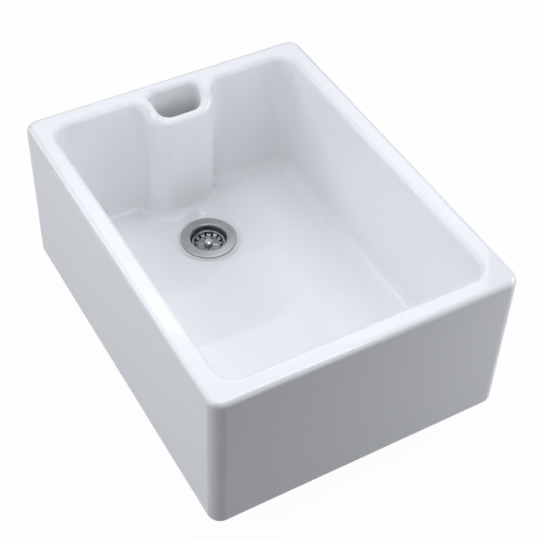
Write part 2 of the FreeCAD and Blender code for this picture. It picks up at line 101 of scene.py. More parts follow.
# %% Sizes of the ceramic, in millimetres
low, high = (np.array(corner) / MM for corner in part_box("basin"))
HALF_LENGTH, HALF_WIDTH = high[0], high[1]
RIM_HEIGHT = high[2]
WALL = 31.0
FLOOR_TOP = 46.0
OUTER_CORNER = 20.0
BASE_ROUNDING = 16.0
RIM_ROUNDING = 8.0
BOWL_CORNER = 28.0
FLOOR_ROUNDING = 17.0
DRAFT = 0.012
BOWL_END = HALF_LENGTH - WALL
BOWL_SIDE = HALF_WIDTH - WALL

cup_low, cup_high = (np.array(corner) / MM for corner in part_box("strainer_cup"))
DRAIN_X = (cup_low[0] + cup_high[0]) / 2
FLANGE_TOP = cup_high[2]
FLANGE_RADIUS = (cup_high[0] - cup_low[0]) / 2
print(f"sink {2 * HALF_LENGTH:.0f} x {2 * HALF_WIDTH:.0f} x {RIM_HEIGHT:.0f} mm, "
      f"waste at x = {DRAIN_X:.1f} mm")

# %% Sizes of the weir boss, the overflow and the dish, in millimetres
BOSS_REACH = 45.0
BOSS_FRONT = BOSS_REACH - BOWL_END
BOSS_HALF_FRONT = 50.0
BOSS_HALF_ROOT = 60.0
BOSS_CORNER = 26.0
BOSS_ROOT = 18.0
LIP_DROP = 20.0
SLOPE_RUN = 42.0
LIP_THICKNESS = 12.5
WEIR_LENGTH = 44.0
WEIR_FRONT = BOSS_FRONT - LIP_THICKNESS
WEIR_BACK = WEIR_FRONT - WEIR_LENGTH
WEIR_HALF_FRONT = 35.0
WEIR_HALF_BACK = 43.0
WEIR_CORNER = 18.0
WEIR_TAPER = 0.05
SHAFT_ROUNDING = 4.0
CHANNEL_FLOOR = 12.0
CHANNEL_TOP = 28.0
CHANNEL_HALF = 22.0
CHANNEL_START = WEIR_BACK + WEIR_LENGTH / 3
HOLE_RADIUS = 32.0
HOLE_ROUNDING = 1.5
DISH_DEPTH = 5.5
DISH_FLAT = 46.0
DISH_SLOPE = 12.0
RECESS_RADIUS = 50.0
RECESS_DEPTH = 4.0
print(f"boss {BOSS_REACH:.0f} mm into the bowl, weir {WEIR_LENGTH:.0f} x {2 * WEIR_HALF_BACK:.0f} mm")

# %% [markdown]
# ## The ceramic as a field of distances
#
# A casting like this has no sharp edge: clay and glaze round everything off. Bevelling a box would
# leave creases where the boss, the wall and the sloping lip run into one another. So the ceramic is
# written as a formula that says how far any point is from its skin, negative inside. Two regions can
# then be joined or cut with a radius, and every rounding runs into the next one by itself.

# %% Joining and cutting regions with a radius
def rounded_rectangle(x, y, half_x, half_y, radius):
    """Distance from a rectangle: how far outside its shrunk self a point is, less the radius."""
    over_x = np.abs(x) - (half_x - radius)
    over_y = np.abs(y) - (half_y - radius)
    outside = np.hypot(np.maximum(over_x, 0), np.maximum(over_y, 0))
    return outside + np.minimum(np.maximum(over_x, over_y), 0) - radius


def overlap(a, b, radius):
    """The part that is in both regions: the larger distance, with the edge rounded to the radius."""
    beyond = np.hypot(np.maximum(a + radius, 0), np.maximum(b + radius, 0))
    return np.minimum(-radius, np.maximum(a, b)) + beyond


def union(a, b, radius):
    """What is in either region: the smaller distance, with the inner corner filled to the radius."""
    return -overlap(-a, -b, radius)


def wedge(x, y, front, half_front, back, half_back, radius):
    """Distance from a blunt wedge in plan, closed in front, whose sides lean in towards the front."""
    lean = (half_back - half_front) / (front - back)
    side = (np.abs(y) - half_front + lean * (x - front)) / math.hypot(1, lean)
    return overlap(x - front, side, radius)


# %% The bowl, the weir and the rim
def bowl_plan(x, y, z):
    """Distance from the bowl seen from above: the wall and the boss are joined, and both lean out."""
    lean = DRAFT * (RIM_HEIGHT - z)
    wall = -rounded_rectangle(x, y, BOWL_END, BOWL_SIDE, BOWL_CORNER) - lean
    boss = wedge(x, y, BOSS_FRONT, BOSS_HALF_FRONT, -BOWL_END, BOSS_HALF_ROOT, BOSS_CORNER) - lean
    return -union(wall, boss, BOSS_ROOT)


def floor_height(radius):
    """The floor's height by the distance from the waste: level, with a soft step down to the dish."""
    along = np.clip((radius - DISH_FLAT) / DISH_SLOPE, 0, 1)
    return FLOOR_TOP - DISH_DEPTH * (1 - along ** 2 * (3 - 2 * along))


def top_distance(x, y, z):
    """Distance above the rim, which over the boss dips to the lip in two even arcs, over and under."""
    arc = (SLOPE_RUN ** 2 + LIP_DROP ** 2) / (4 * LIP_DROP)
    over_boss = (np.abs(y) < BOWL_SIDE - BOWL_CORNER) & (x < 2 * BOSS_FRONT + BOWL_END)
    along = np.where(over_boss, np.clip(x + BOWL_END, 0, SLOPE_RUN), 0)
    to_end = np.minimum(along, SLOPE_RUN - along)
    bend = arc - np.sqrt(arc ** 2 - to_end ** 2)
    drop = np.where(along < SLOPE_RUN / 2, bend, LIP_DROP - bend)
    return (z - RIM_HEIGHT + drop) * np.sqrt(1 - (to_end / arc) ** 2)


def weir_shaft(x, y, z):
    """Distance from the shaft under the weir: a wedge closed at the back too, narrower lower down."""
    narrow = WEIR_TAPER * np.maximum(RIM_HEIGHT - z, 0)
    plan = wedge(x, y, WEIR_FRONT, WEIR_HALF_FRONT, WEIR_BACK, WEIR_HALF_BACK, WEIR_CORNER)
    plan = overlap(plan, WEIR_BACK - x, WEIR_CORNER) + narrow
    return overlap(plan, CHANNEL_FLOOR - z, SHAFT_ROUNDING)


def channel(x, y, z):
    """Distance from the flat channel under the floor, from the foot of the shaft to the waste."""
    middle_x = (CHANNEL_START + DRAIN_X) / 2
    half_x = (DRAIN_X - CHANNEL_START) / 2
    middle_z = (CHANNEL_FLOOR + CHANNEL_TOP) / 2
    half_z = (CHANNEL_TOP - CHANNEL_FLOOR) / 2
    across = np.maximum(np.abs(y) - CHANNEL_HALF, np.abs(z - middle_z) - half_z)
    return np.maximum(np.abs(x - middle_x) - half_x, across)


def ceramic(x, y, z):
    """Distance from the whole casting, in millimetres: the block, less the bowl and all openings."""
    radius = np.hypot(x - DRAIN_X, y)
    block = rounded_rectangle(x, y, HALF_LENGTH, HALF_WIDTH, OUTER_CORNER)
    block = overlap(block, -z, BASE_ROUNDING)
    bowl = overlap(bowl_plan(x, y, z), floor_height(radius) - z, FLOOR_ROUNDING)
    sides = np.maximum(np.maximum(block, -bowl), -weir_shaft(x, y, z))
    body = overlap(sides, top_distance(x, y, z), RIM_ROUNDING)
    body = overlap(body, HOLE_RADIUS - radius, HOLE_ROUNDING)
    recess = np.maximum(radius - RECESS_RADIUS, z - RECESS_DEPTH)
    return np.maximum(body, -np.minimum(recess, channel(x, y, z)))


mid_bowl = ceramic(np.zeros(1), np.zeros(1), np.full(1, RIM_HEIGHT / 2))[0]
print(f"the middle of the bowl is {mid_bowl:.1f} mm from the skin")

# %% [markdown]
# ## From the field to a mesh
#
# The skin is where the distance is zero. A grid of points is laid through the block, close where the
# shape bends and wide where it is flat. Each grid cell that the skin crosses gets one vertex, and each
# grid edge that it crosses gets one face. Then every vertex slides along the slope of the field until
# it is exactly on the skin, so flat walls are flat and roundings are true.

# %% Grid lines
def graded(*stops):
    """Grid lines from pairs of a place and the step to use after it. The last pair ends the row."""
    lines = []
    for (start, step), (end, _) in zip(stops[:-1], stops[1:]):
        lines.append(np.linspace(start, end, max(1, round((end - start) / step)), endpoint=False))
    return np.concatenate(lines + [[stops[-1][0]]])


FINE, DISH_STEP, RIM_STEP, WIDE = 2.8, 3.1, 2.5, 13.0
MARGIN = 1.4
BEFORE_BEND, PAST_BEND = 2.0, 4.0
lines_x = graded((-HALF_LENGTH - MARGIN, FINE), (BOSS_FRONT + FLOOR_ROUNDING + PAST_BEND, DISH_STEP),
                 (DRAIN_X + DISH_FLAT + DISH_SLOPE, WIDE), (BOWL_END - BOWL_CORNER - BEFORE_BEND, FINE),
                 (HALF_LENGTH + MARGIN, 0))
side_y = graded((BOSS_HALF_ROOT + BOSS_ROOT, WIDE), (BOWL_SIDE - BOWL_CORNER - BEFORE_BEND, FINE),
                (HALF_WIDTH + MARGIN, 0))
middle_y = graded((-side_y[0], FINE), (side_y[0], 0))
lines_y = np.concatenate([-side_y[:0:-1], middle_y, side_y[1:]])
lines_z = graded((-MARGIN, FINE), (FLOOR_TOP + FLOOR_ROUNDING + PAST_BEND, WIDE),
                 (RIM_HEIGHT - LIP_DROP - 2 * RIM_ROUNDING, RIM_STEP), (RIM_HEIGHT + MARGIN, 0))
print("grid:", len(lines_x), "x", len(lines_y), "x", len(lines_z))


# %% One vertex in each cell that the skin crosses
def step_slices(axis, first, size):
    """The same box of a grid, moved by one along an axis."""
    picks = [slice(None)] * 3
    picks[axis] = slice(first, first + size - 1)
    return tuple(picks)


def skin_net(distance, lines):
    """Vertices and faces of the skin: a vertex is the mean of its cell's crossings, and a face joins
    the four cells round a crossed edge, turned so that it looks to where the distance is positive."""
    grid = np.stack(np.meshgrid(*lines, indexing="ij"), axis=-1)
    value = distance(grid[..., 0], grid[..., 1], grid[..., 2])
    shape = value.shape
    total = np.zeros([size - 1 for size in shape] + [3])
    count = np.zeros(total.shape[:3])
    crossed = []
    for axis in range(3):
        near, far = step_slices(axis, 0, shape[axis]), step_slices(axis, 1, shape[axis])
        crossing = (value[near] < 0) != (value[far] < 0)
        share = np.where(crossing, value[near] / np.where(crossing, value[near] - value[far], 1), 0)
        point = (grid[near] + share[..., None] * (grid[far] - grid[near])) * crossing[..., None]
        one, two = [other for other in range(3) if other != axis]
        for first, second in ((0, 0), (0, 1), (1, 0), (1, 1)):
            picks = [slice(None)] * 3
            picks[one] = slice(first, first + shape[one] - 1)
            picks[two] = slice(second, second + shape[two] - 1)
            total += point[tuple(picks)]
            count += crossing[tuple(picks)]
        crossed.append((axis, one, two, crossing, value[near] >= 0))
    used = count > 0
    number = np.full(used.shape, -1)
    number[used] = np.arange(used.sum())
    return total[used] / count[used][:, None], net_faces(crossed, number)


def net_faces(crossed, number):
    """The faces of the net: four cells round each crossed edge, turned about where needed."""
    faces = []
    for axis, one, two, crossing, faces_back in crossed:
        at = np.argwhere(crossing)
        kept = (at[:, one] > 0) & (at[:, two] > 0)
        kept &= (at[:, one] < crossing.shape[one] - 1) & (at[:, two] < crossing.shape[two] - 1)
        at = at[kept]
        corners = []
        for back_one, back_two in ((1, 1), (0, 1), (0, 0), (1, 0)):
            cell = at.copy()
            cell[:, one] -= back_one
            cell[:, two] -= back_two
            corners.append(number[tuple(cell.T)])
        quads = np.stack(corners, axis=1)
        turned = faces_back[tuple(at.T)] != (axis == 1)
        quads[turned] = quads[turned][:, ::-1]
        faces.append(quads)
    return np.concatenate(faces)


# %% Settling the vertices on the skin
ROUNDS, LONGEST_MOVE = 8, 1.5
SETTLE_SPAN, NORMAL_SPAN = 0.05, 0.25
LEAST_SLOPE = 0.05


def slope_of(distance, points, span):
    """The slope of the field at each point, from the difference across a small span on each axis."""
    steps = np.eye(3) * span
    return np.stack([distance(*(points + step).T) - distance(*(points - step).T) for step in steps],
                    axis=1) / (2 * span)


def settle(distance, points):
    """Moves points down the slope by their distance, a little at a time, until they are on the skin."""
    for _ in range(ROUNDS):
        slope = slope_of(distance, points, SETTLE_SPAN)
        share = distance(*points.T) / np.maximum((slope ** 2).sum(axis=1), LEAST_SLOPE)
        points = points - np.clip(share, -LONGEST_MOVE, LONGEST_MOVE)[:, None] * slope
    return points


def build_mesh(name, points, faces, normals=None):
    """A smooth object from points in millimetres and rows of corner numbers."""
    mesh = bpy.data.meshes.new(name)
    mesh.from_pydata((points * MM).tolist(), [], faces.tolist())
    mesh.polygons.foreach_set("use_smooth", np.ones(len(mesh.polygons), dtype=bool))
    if normals is not None:
        mesh.normals_split_custom_set_from_vertices(normals.tolist())
    mesh.update()
    piece = bpy.data.objects.new(name, mesh)
    bpy.context.scene.collection.objects.link(piece)
    return piece


points, faces = skin_net(ceramic, (lines_x, lines_y, lines_z))
points = settle(ceramic, points)
slopes = slope_of(ceramic, points, NORMAL_SPAN)
normals = slopes / np.maximum(np.linalg.norm(slopes, axis=1), 1e-9)[:, None]
basin = build_mesh("glazed_basin", points, faces, normals)
worst = np.abs(ceramic(*points.T)).max()
print(f"basin: {len(points)} vertices, {len(faces)} faces, worst distance {worst:.3f} mm")

# %% [markdown]
# ## Pressed steel
#
# The strainer's cup and basket are pressed from thin sheet. Each is a line turned about the waste axis.
# Holes and slots are faces left out of the turned sheet, and Solidify then gives it a thickness, with a
# real edge round every slot. The corners of the line are bent like sheet is, never sharp.

# %% Turned shapes
BEND_STEPS = 5
MOST_OF_SIDE = 0.45


def bent(corners):
    """A line through corners of radius, height and bend, with each corner cut by a short curve.

    The curve is a parabola that leaves one side and meets the next at the same distance, the bend."""
    corners = np.array(corners, dtype=float)
    place, bend = corners[:, :2], corners[1:-1, 2:3]
    before, here, after = place[:-2], place[1:-1], place[2:]
    back, on = before - here, after - here
    back_length = np.linalg.norm(back, axis=1, keepdims=True)
    on_length = np.linalg.norm(on, axis=1, keepdims=True)
    start = here + back / back_length * np.minimum(bend, MOST_OF_SIDE * back_length)
    end = here + on / on_length * np.minimum(bend, MOST_OF_SIDE * on_length)
    t = np.linspace(0, 1, BEND_STEPS)[None, :, None]
    curve = (1 - t) ** 2 * start[:, None] + 2 * t * (1 - t) * here[:, None] + t ** 2 * end[:, None]
    return np.concatenate([place[:1], curve.reshape(-1, 2), place[-1:]])


def spread(line, longest):
    """The same line with its long stretches divided, so that no step is longer than asked."""
    pieces = [np.linspace(start, end, max(1, math.ceil(np.linalg.norm(end - start) / longest)),
                          endpoint=False) for start, end in zip(line[:-1], line[1:])]
    return np.concatenate(pieces + [line[-1:]])


def turned(name, line, around, lift=None, hole=None, closed=False):
    """Turns a line of radius and height about the waste axis: x = r cos a, y = r sin a.

    lift adds height by radius and angle, and hole says which faces to leave out."""
    angle = np.linspace(0, 2 * math.pi, around, endpoint=False)
    radius, height = line[:, 0][:, None], line[:, 1][:, None]
    height = height + (lift(radius, angle[None, :]) if lift else np.zeros((len(line), around)))
    x = DRAIN_X + radius * np.cos(angle)
    y = radius * np.sin(angle)
    points = np.stack([x, y, height], axis=-1).reshape(-1, 3)
    rows = np.arange(len(line) if closed else len(line) - 1)
    row, column = np.meshgrid(rows, np.arange(around), indexing="ij")
    next_row, next_column = (row + 1) % len(line), (column + 1) % around
    quads = np.stack([row * around + column, row * around + next_column,
                      next_row * around + next_column, next_row * around + column], axis=-1)
    if hole:
        middle = (line[rows] + line[(rows + 1) % len(line)]) / 2
        kept = ~hole(middle[:, 0][:, None], middle[:, 1][:, None], (angle + angle[1] / 2)[None, :])
        quads = quads[kept]
    return build_mesh(name, points, quads.reshape(-1, 4))


def clean(piece, outward=True):
    """Merges doubled points, drops loose ones and turns every face outward."""
    work = bmesh.new()
    work.from_mesh(piece.data)
    bmesh.ops.remove_doubles(work, verts=work.verts, dist=1e-6)
    bmesh.ops.delete(work, geom=[vert for vert in work.verts if not vert.link_faces], context="VERTS")
    if outward:
        bmesh.ops.recalc_face_normals(work, faces=work.faces)
    work.to_mesh(piece.data)
    work.free()
    return piece


def thicken(piece, thickness):
    """Gives a sheet its thickness in millimetres, on the side away from its faces."""
    solid = piece.modifiers.new("sheet", "SOLIDIFY")
    solid.thickness = thickness * MM
    solid.offset = -1
    solid.use_even_offset = True


# %% The strainer cup
CUP_SHEET = 0.9
SEAT_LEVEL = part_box("basket_disc")[0][2] / MM
LEDGE_LEVEL = FLANGE_TOP - 10.0
WELL_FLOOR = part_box("screw_washer")[0][2] / MM
WINDOW_RING, WINDOW_HALF = 11.0, 4.2
cup_line = spread(bent([
    (FLANGE_RADIUS, FLANGE_TOP - 1.85, 0), (FLANGE_RADIUS - 0.1, FLANGE_TOP - 0.75, 0.9),
    (FLANGE_RADIUS - 3.0, FLANGE_TOP - 0.35, 2.5), (32.6, FLANGE_TOP - 0.15, 2.0),
    (30.9, FLANGE_TOP + 0.0, 0.8), (29.0, FLANGE_TOP - 0.5, 1.1), (28.2, FLANGE_TOP - 2.6, 1.2),
    (27.2, LEDGE_LEVEL, 1.2), (23.6, LEDGE_LEVEL, 1.0), (23.6, SEAT_LEVEL, 1.2),
    (16.5, SEAT_LEVEL, 1.0), (16.5, WELL_FLOOR, 1.5), (3.4, WELL_FLOOR, 0)]), 1.0)


def cup_windows(radius, height, angle):
    """The four round windows in the floor of the well."""
    turn = (angle + math.pi / 4) % (math.pi / 2) - math.pi / 4
    from_window = np.hypot(radius * np.cos(turn) - WINDOW_RING, radius * np.sin(turn))
    return (height < WELL_FLOOR + 1) & (from_window < WINDOW_HALF)


cup = turned("flange_cup", cup_line, around=192, hole=cup_windows)
thicken(clean(cup, outward=False), CUP_SHEET)
print("cup:", len(cup.data.polygons), "faces before its thickness")

# %% The basket
BASKET_SHEET = 0.8
basket_low, basket_high = (np.array(corner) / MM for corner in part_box("basket"))
BASKET_TOP, BASKET_FLOOR = basket_high[2], basket_low[2] + BASKET_SHEET
BASKET_RIM = (basket_high[0] - basket_low[0]) / 2
BASKET_WALL = 22.2
SLOTS, FACES_PER_SLOT = 13, 40
SLOT_HALF, SLOT_START, SLOT_TOP = 1.65, 17.6, BASKET_FLOOR + 3.6
RIBS, RIB_HEIGHT, RIB_HALF = 6, 0.7, 1.5
RIB_START, RIB_END, RIB_FADE = 5.0, 17.0, 2.0
basket_line = spread(bent([
    (BASKET_RIM, BASKET_TOP - 0.7, 0), (BASKET_RIM, BASKET_TOP, 0.6),
    (BASKET_WALL + 0.6, BASKET_TOP, 1.2), (BASKET_WALL, BASKET_FLOOR + 2.6, 1.0),
    (BASKET_WALL - 2.4, BASKET_FLOOR, 2.2), (12.0, BASKET_FLOOR + 0.2, 1.0),
    (5.5, BASKET_FLOOR + 0.5, 1.0), (2.6, BASKET_FLOOR + 0.1, 0)]), 0.45)


def ribs(radius, angle):
    """Six low ribs pressed into the floor: a bump across the angle, faded in and out by radius."""
    turn = (angle + math.pi / RIBS) % (2 * math.pi / RIBS) - math.pi / RIBS
    across = np.clip(1 - (radius * np.sin(turn) / RIB_HALF) ** 2, 0, 1)
    fade_in = np.clip((radius - RIB_START) / RIB_FADE, 0, 1)
    fade_out = np.clip((RIB_END - radius) / RIB_FADE, 0, 1)
    return RIB_HEIGHT * across ** 2 * (fade_in * fade_out)


def basket_slots(radius, height, angle):
    """Thirteen straight slots through the corner between the floor and the wall."""
    turn = (angle + math.pi / SLOTS) % (2 * math.pi / SLOTS) - math.pi / SLOTS
    in_corner = (height < SLOT_TOP) & (radius > SLOT_START)
    return in_corner & (np.abs(radius * np.sin(turn)) < SLOT_HALF)


basket = turned("pressed_basket", basket_line, around=SLOTS * FACES_PER_SLOT, lift=ribs, hole=basket_slots)
thicken(clean(basket, outward=False), BASKET_SHEET)
print("basket:", len(basket.data.polygons), "faces before its thickness")

# %% [markdown]
# ## Solid turned parts
#
# The knob is a small polished mushroom, turned from bar. Its line starts and ends on the axis, so the
# turned skin closes by itself once the doubled points at the two poles are merged.

# %% The knob
knob_low, knob_high = (np.array(corner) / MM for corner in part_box("basket_knob"))
KNOB_FOOT, KNOB_TOP = knob_low[2], knob_high[2]
KNOB_RADIUS = (knob_high[0] - knob_low[0]) / 2
knob_line = spread(bent([
    (0, KNOB_TOP, 0), (KNOB_RADIUS - 3.2, KNOB_TOP - 0.15, 2.5), (KNOB_RADIUS, KNOB_TOP - 2.0, 2.0),
    (KNOB_RADIUS - 0.2, KNOB_TOP - 3.6, 0.8), (3.8, KNOB_TOP - 4.8, 1.5),
    (3.5, KNOB_FOOT + 1.6, 1.2), (4.6, KNOB_FOOT + 0.5, 0.6), (4.6, KNOB_FOOT, 0.2),
    (2.6, KNOB_FOOT, 0.1), (2.6, KNOB_TOP - 3.0, 0.2), (0, KNOB_TOP - 3.0, 0)]), 0.6)
knob = clean(turned("knob", knob_line, around=96))
print("knob:", len(knob.data.polygons), "faces")

# %% [markdown]
# ## The lower body
#
# Under the ceramic hangs a moulded body. Its tail carries a standard pipe thread, eleven turns to the
# inch, which a trap's nut screws onto. The thread is a wave on the turned skin that climbs one pitch in
# each turn. Spokes and a hub in the funnel take the pull of the clamp screw.

# %% The moulded body and its thread
body_low, body_high = (np.array(corner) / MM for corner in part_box("waste_body"))
BODY_TOP, TAIL_END = body_high[2], body_low[2]
BODY_WALL, FUNNEL_RADIUS, TAIL_RADIUS = 3.2, 31.0, 23.9
BODY_FLANGE = 47.5
COLLAR_BASE, FUNNEL_BASE = BODY_TOP - 8.0, BODY_TOP - 25.0
THREAD_PITCH, THREAD_DEPTH = 25.4 / 11, 1.2
BARE_TOP, FADE_TOP = 3.0, 2.0
BARE_END, FADE_END = 1.0, 1.5
SKIN = 0.3
body_line = spread(bent([
    (FUNNEL_RADIUS, BODY_TOP - 1, 0), (FUNNEL_RADIUS, BODY_TOP, 0.5), (BODY_FLANGE, BODY_TOP, 0.8),
    (BODY_FLANGE, BODY_TOP - 4, 0.8), (FUNNEL_RADIUS + BODY_WALL, BODY_TOP - 4, 1.5),
    (FUNNEL_RADIUS + BODY_WALL, COLLAR_BASE, 3.0), (TAIL_RADIUS, FUNNEL_BASE, 3.0),
    (TAIL_RADIUS, TAIL_END, 0.5), (TAIL_RADIUS - BODY_WALL, TAIL_END, 0.5),
    (TAIL_RADIUS - BODY_WALL, FUNNEL_BASE + BODY_WALL, 3.0),
    (FUNNEL_RADIUS, COLLAR_BASE + BODY_WALL, 3.0),
    (FUNNEL_RADIUS, BODY_TOP - 1.2, 0)]), 0.42)


def with_thread(piece):
    """Sinks a wave into the tail's outer skin: depth by the fraction of a pitch, round and down.

    It fades out below the funnel and above the tail's end, which are left bare."""
    mesh = piece.data
    flat = np.empty(3 * len(mesh.vertices))
    mesh.vertices.foreach_get("co", flat)
    place = flat.reshape(-1, 3) / MM
    offset = place[:, :2] - [DRAIN_X, 0]
    radius = np.linalg.norm(offset, axis=1)
    phase = np.arctan2(offset[:, 1], offset[:, 0]) / (2 * math.pi) - place[:, 2] / THREAD_PITCH
    wave = np.abs(2 * (phase % 1) - 1)
    height = place[:, 2]
    fade_top = np.clip((FUNNEL_BASE - BARE_TOP - height) / FADE_TOP, 0, 1)
    fade_end = np.clip((height - TAIL_END - BARE_END) / FADE_END, 0, 1)
    outer = radius > TAIL_RADIUS - SKIN
    sunk = np.where(outer, THREAD_DEPTH * (fade_top * fade_end) * wave, 0)
    place[:, :2] -= offset / np.maximum(radius, 1e-6)[:, None] * sunk[:, None]
    mesh.vertices.foreach_set("co", (place * MM).ravel())
    mesh.update()
    return piece


lower_body = with_thread(clean(turned("lower_body", body_line, around=144, closed=True)))
print("lower body:", len(lower_body.data.polygons), "faces")

# %% Spokes and hub
HUB_TOP, HUB_BASE, HUB_RADIUS = BODY_TOP - 3.0, BODY_TOP - 21.0, 8.0
INSERT_RADIUS, SCREW_RADIUS, INSERT_LENGTH = 5.0, 3.4, 12.0
SPOKES, SPOKE_WIDTH, SPOKE_HEIGHT, SPOKE_BEVEL = 4, 3, 12, 0.5
SPOKE_OVERLAP, SPOKE_IN_HUB = 3, 1
hub_line = spread(bent([
    (INSERT_RADIUS, HUB_TOP - 0.5, 0), (INSERT_RADIUS, HUB_TOP, 0.3), (HUB_RADIUS, HUB_TOP, 0.8),
    (HUB_RADIUS, HUB_BASE, 0.8), (SCREW_RADIUS, HUB_BASE, 0.4),
    (SCREW_RADIUS, HUB_TOP - INSERT_LENGTH, 0.2), (INSERT_RADIUS, HUB_TOP - INSERT_LENGTH, 0.2),
    (INSERT_RADIUS, HUB_TOP - 0.8, 0)]), 1.5)
hub = clean(turned("hub", hub_line, around=64, closed=True))


def spoke_mesh(turn):
    """One spoke: a rounded bar from the hub into the funnel's wall, turned by an angle."""
    work = bmesh.new()
    bmesh.ops.create_cube(work, size=1)
    length = TAIL_RADIUS - HUB_RADIUS + SPOKE_OVERLAP
    size = Matrix.Diagonal((length * MM, SPOKE_WIDTH * MM, SPOKE_HEIGHT * MM, 1))
    middle_x, middle_z = HUB_RADIUS + length / 2 - SPOKE_IN_HUB, HUB_BASE + SPOKE_HEIGHT / 2
    place = Matrix.Translation((middle_x * MM, 0, middle_z * MM))
    spin = Matrix.Rotation(turn, 4, "Z")
    at_waste = Matrix.Translation((DRAIN_X * MM, 0, 0))
    bmesh.ops.transform(work, matrix=at_waste @ spin @ place @ size, verts=work.verts)
    bmesh.ops.bevel(work, geom=work.edges[:], offset=SPOKE_BEVEL * MM, segments=2, affect="EDGES")
    mesh = bpy.data.meshes.new("spoke")
    work.to_mesh(mesh)
    work.free()
    piece = bpy.data.objects.new("spoke", mesh)
    bpy.context.scene.collection.objects.link(piece)
    return piece


def join(main, others):
    """Adds the faces of other objects to the first one, and removes those objects."""
    work = bmesh.new()
    for piece in [main] + others:
        work.from_mesh(piece.data)
    work.to_mesh(main.data)
    work.free()
    for piece in others:
        bpy.data.objects.remove(piece)
    main.data.polygons.foreach_set("use_smooth", np.ones(len(main.data.polygons), dtype=bool))


join(lower_body, [hub] + [spoke_mesh(number * 2 * math.pi / SPOKES) for number in range(SPOKES)])
print("lower body with hub and spokes:", len(lower_body.data.polygons), "faces")

# %% [markdown]
# ## Shared effects
#
# Three small node groups are used by several finishes: slow waves for surfaces that were fired or
# moulded and are never dead flat, fine rings for metal turned or polished round the waste axis, and
# faint marks of dried water, which break up a perfect shine.

# %% Building node groups
def feed(tree, socket, value):
    """Links another socket to this one, or sets its plain number or colour."""
    if hasattr(value, "is_output"):
        tree.links.new(value, socket)
    else:
        socket.default_value = (*value, 1) if socket.type == "RGBA" else value


def new_group(name, inputs, outputs):
    """An empty node group with named number inputs and outputs."""
    tree = bpy.data.node_groups.new(name, "ShaderNodeTree")
    for label, value in inputs:
        socket = tree.interface.new_socket(label, in_out="INPUT", socket_type="NodeSocketFloat")
        socket.default_value = value
    for label in outputs:
        tree.interface.new_socket(label, in_out="OUTPUT", socket_type="NodeSocketFloat")
    return tree, tree.nodes.new("NodeGroupInput"), tree.nodes.new("NodeGroupOutput")


def noise(tree, vector, scale, detail=2.0, roughness=0.5):
    """A noise texture read at the given place."""
    node = tree.nodes.new("ShaderNodeTexNoise")
    tree.links.new(vector, node.inputs["Vector"])
    feed(tree, node.inputs["Scale"], scale)
    node.inputs["Detail"].default_value = detail
    node.inputs["Roughness"].default_value = roughness
    return node.outputs["Fac"]


def maths(tree, operation, *values, clamp=False):
    """One step of arithmetic on sockets or plain numbers."""
    node = tree.nodes.new("ShaderNodeMath")
    node.operation = operation
    node.use_clamp = clamp
    for socket, value in zip(node.inputs, values):
        feed(tree, socket, value)
    return node.outputs[0]


def ranged(tree, value, low_in, high_in, low_out, high_out):
    """Stretches a value from one range to another, and holds it there."""
    node = tree.nodes.new("ShaderNodeMapRange")
    tree.links.new(value, node.inputs["Value"])
    for label, number in (("From Min", low_in), ("From Max", high_in), ("To Min", low_out),
                          ("To Max", high_out)):
        node.inputs[label].default_value = number
    return node.outputs["Result"]


def object_place(tree):
    """The place on the object, in metres."""
    return tree.nodes.new("ShaderNodeTexCoord").outputs["Object"]


def place_parts(tree):
    """The same place, taken apart into X, Y and Z."""
    split = tree.nodes.new("ShaderNodeSeparateXYZ")
    tree.links.new(object_place(tree), split.inputs["Vector"])
    return split.outputs


# %% Three shared groups
WAVE_FINENESS = 6.0
RING_DRIFT = 0.0012
MARK_CONTRAST, MARK_FINENESS = 8.0, 9.0


def waves_group():
    """Height of slow, shallow waves, with a finer skin of the same kind."""
    tree, entry, leave = new_group("Slow waves", [("Scale", 9.0), ("Fine share", 0.15)], ["Height"])
    place = object_place(tree)
    slow = noise(tree, place, entry.outputs["Scale"], detail=1.0)
    quick = noise(tree, place, maths(tree, "MULTIPLY", entry.outputs["Scale"], WAVE_FINENESS), detail=2.0)
    height = maths(tree, "ADD", slow, maths(tree, "MULTIPLY", quick, entry.outputs["Fine share"]))
    tree.links.new(height, leave.inputs["Height"])
    return tree


def rings_group():
    """Fine rings round the waste axis: noise that changes with radius and height, hardly with angle."""
    tree, entry, leave = new_group("Turned rings", [("Scale", 900.0)], ["Rings"])
    part = place_parts(tree)
    from_axis = maths(tree, "SUBTRACT", part["X"], DRAIN_X * MM)
    square = maths(tree, "ADD", maths(tree, "POWER", from_axis, 2.0), maths(tree, "POWER", part["Y"], 2.0))
    radius = maths(tree, "SQRT", square)
    angle = maths(tree, "ARCTAN2", part["Y"], from_axis)
    joined = tree.nodes.new("ShaderNodeCombineXYZ")
    tree.links.new(radius, joined.inputs["X"])
    tree.links.new(part["Z"], joined.inputs["Y"])
    tree.links.new(maths(tree, "MULTIPLY", angle, RING_DRIFT), joined.inputs["Z"])
    rings = noise(tree, joined.outputs["Vector"], entry.outputs["Scale"], detail=3.0, roughness=0.7)
    tree.links.new(rings, leave.inputs["Rings"])
    return tree


def marks_group():
    """Sparse soft marks of dried water: the peaks of one noise, broken up by another."""
    tree, entry, leave = new_group("Water marks", [("Scale", 30.0), ("Threshold", 0.6)], ["Marks"])
    place = object_place(tree)
    patches = noise(tree, place, entry.outputs["Scale"], detail=4.0, roughness=0.6)
    over = maths(tree, "SUBTRACT", patches, entry.outputs["Threshold"])
    peaks = maths(tree, "MULTIPLY", over, MARK_CONTRAST, clamp=True)
    broken = noise(tree, place, maths(tree, "MULTIPLY", entry.outputs["Scale"], MARK_FINENESS), detail=2.0)
    tree.links.new(maths(tree, "MULTIPLY", peaks, broken), leave.inputs["Marks"])
    return tree


WAVES, RINGS, MARKS = waves_group(), rings_group(), marks_group()
print("node groups:", [group.name for group in bpy.data.node_groups])


